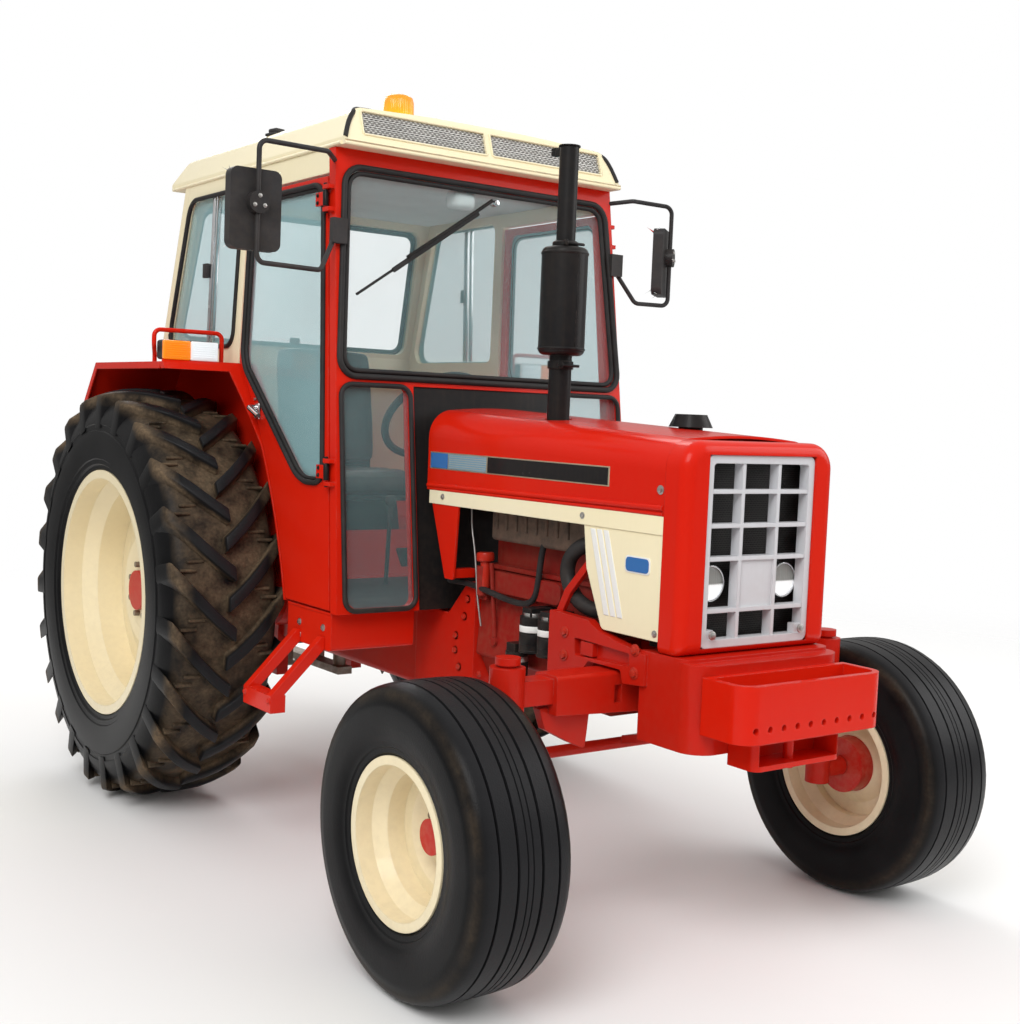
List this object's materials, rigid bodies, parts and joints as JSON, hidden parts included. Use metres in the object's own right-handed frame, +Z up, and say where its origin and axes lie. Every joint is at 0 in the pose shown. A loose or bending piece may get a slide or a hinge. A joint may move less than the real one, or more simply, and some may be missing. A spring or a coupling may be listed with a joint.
{
  "type": "farm tractor with cab",
  "caption": "Two-wheel-drive farm tractor with a glazed cab, upright grille, steered front axle, front weight tray and rear three-point linkage.",
  "frame": {"origin": "on the ground, at the middle of the tractor's outer box", "axes": "+Z up, -Y the way it drives, +X to the driver's left"},
  "size_m": [1.98, 3.6, 2.5778],
  "materials": {
    "red_paint": "gloss enamel",
    "cream_paint": "gloss enamel",
    "black_paint": "satin",
    "engine_paint": "oily enamel",
    "cast_iron": "rough",
    "tyre_rubber": "dusty",
    "tinted_glass": "tinted",
    "silver_paint": "satin",
    "lamp_lens": "fluted",
    "amber_lens": "clear",
    "black_plastic": "grained",
    "seat_vinyl": "grained",
    "worn_steel": "worn"
  },
  "bodies": {
    "chassis": {"beacon": "amber_lens", "cab_floor": "red_paint", "cab_front": "red_paint", "cab_glass": "tinted_glass", "cab_rear": "cream_paint", "cab_sides": "cream_paint", "drawbar": "worn_steel", "engine": "engine_paint", "engine_fittings": "black_paint", "engine_manifold": "cast_iron", "exhaust_stack": "black_paint", "fenders": "red_paint", "firewall": "black_paint", "front_axle": "red_paint", "front_frame": "red_paint", "grille": "silver_paint", "headlamps": "lamp_lens", "hood": "red_paint", "intake_cap": "black_paint", "lamp_guards": "red_paint", "lamps": "amber_lens", "levers": "black_plastic", "mirrors": "black_plastic", "nose_cowl": "red_paint", "radiator": "black_paint", "rear_axle_housing": "red_paint", "roof": "cream_paint", "roof_vents": "silver_paint", "seat": "seat_vinyl", "seat_base": "black_paint", "side_gussets": "red_paint", "side_trims": "cream_paint", "steering_column": "black_plastic", "steps": "red_paint", "transmission": "red_paint", "weight_tray": "red_paint"},
    "wheel_rear_left": {"rim_rear_left": "cream_paint", "tyre_rear_left": "tyre_rubber"},
    "wheel_rear_right": {"rim_rear_right": "cream_paint", "tyre_rear_right": "tyre_rubber"},
    "wheel_front_left": {"rim_front_left": "cream_paint", "tyre_front_left": "tyre_rubber"},
    "wheel_front_right": {"rim_front_right": "cream_paint", "tyre_front_right": "tyre_rubber"},
    "knuckle_left": {"knuckle_left": "red_paint"},
    "knuckle_right": {"knuckle_right": "red_paint"},
    "track_rod": {"track_rod": "worn_steel"},
    "steering_wheel": {"steering_wheel": "black_plastic"},
    "door_left": {"door_left": "red_paint", "door_glass_left": "tinted_glass"},
    "door_right": {"door_right": "red_paint", "door_glass_right": "tinted_glass"},
    "rain_cap": {"rain_cap": "black_paint"},
    "lift_arms": {"lift_arms": "red_paint"},
    "lift_rods": {"lift_rods": "worn_steel"},
    "lower_links": {"lower_links": "worn_steel"}
  },
  "joints": [
    {"name": "wheel_spin_rear_left", "type": "hinge", "parent": "chassis", "child": "wheel_rear_left", "pos_m": [0.775, 0.855, 0.7675], "axis": [1, 0, 0], "continuous": true},
    {"name": "wheel_spin_rear_right", "type": "hinge", "parent": "chassis", "child": "wheel_rear_right", "pos_m": [-0.775, 0.855, 0.7675], "axis": [1, 0, 0], "continuous": true},
    {"name": "steer_right", "type": "hinge", "parent": "chassis", "child": "knuckle_right", "pos_m": [-0.62, -1.275, 0.405], "axis": [0, 0, 1], "range_deg": [-45, 45]},
    {"name": "steer_left", "type": "hinge", "parent": "chassis", "child": "knuckle_left", "pos_m": [0.62, -1.275, 0.405], "axis": [0, 0, 1], "range_deg": [-45, 45]},
    {"name": "wheel_spin_front_left", "type": "hinge", "parent": "knuckle_left", "child": "wheel_front_left", "pos_m": [0.822, -1.275, 0.405], "axis": [1, 0, 0], "continuous": true},
    {"name": "wheel_spin_front_right", "type": "hinge", "parent": "knuckle_right", "child": "wheel_front_right", "pos_m": [-0.822, -1.275, 0.405], "axis": [1, 0, 0], "continuous": true},
    {"name": "track_rod_end", "type": "hinge", "parent": "knuckle_right", "child": "track_rod", "pos_m": [-0.62, -1.095, 0.526], "axis": [0, 0, 1], "range_deg": [-45, 45]},
    {"name": "steering_wheel_turn", "type": "hinge", "parent": "chassis", "child": "steering_wheel", "pos_m": [0, 0.08211, 1.47527], "axis": [0, 0.7372, 0.6757], "range_deg": [-540, 540]},
    {"name": "door_left_open", "type": "hinge", "parent": "chassis", "child": "door_left", "pos_m": [0.61996, -0.24072, 1.283], "axis": [0.0264, -0.1168, -0.9928], "range_deg": [0, 80]},
    {"name": "door_right_open", "type": "hinge", "parent": "chassis", "child": "door_right", "pos_m": [-0.61996, -0.24072, 1.283], "axis": [0.0264, 0.1168, 0.9928], "range_deg": [0, 80]},
    {"name": "rain_cap_lift", "type": "hinge", "parent": "chassis", "child": "rain_cap", "pos_m": [-0.13, -0.7735, 2.301], "axis": [-1, 0, 0], "range_deg": [0, 80]},
    {"name": "lift", "type": "hinge", "parent": "chassis", "child": "lift_arms", "pos_m": [0, 1.05, 0.9], "axis": [1, 0, 0], "range_deg": [-20, 30]},
    {"name": "lift_rod_pin", "type": "hinge", "parent": "lift_arms", "child": "lift_rods", "pos_m": [0, 1.36878, 0.92789], "axis": [1, 0, 0], "range_deg": [-30, 20]},
    {"name": "lower_link_root", "type": "hinge", "parent": "chassis", "child": "lower_links", "pos_m": [0, 0.96, 0.42], "axis": [1, 0, 0], "range_deg": [-20, 30]}
  ],
  "couplings": [
    {"joint": "steer_left", "follows": "steer_right", "ratio": 1},
    {"joint": "track_rod_end", "follows": "steer_right", "ratio": -1},
    {"joint": "steering_wheel_turn", "follows": "steer_right", "ratio": 12},
    {"joint": "lift_rod_pin", "follows": "lift", "ratio": -1},
    {"joint": "lower_link_root", "follows": "lift", "ratio": 1}
  ]
}
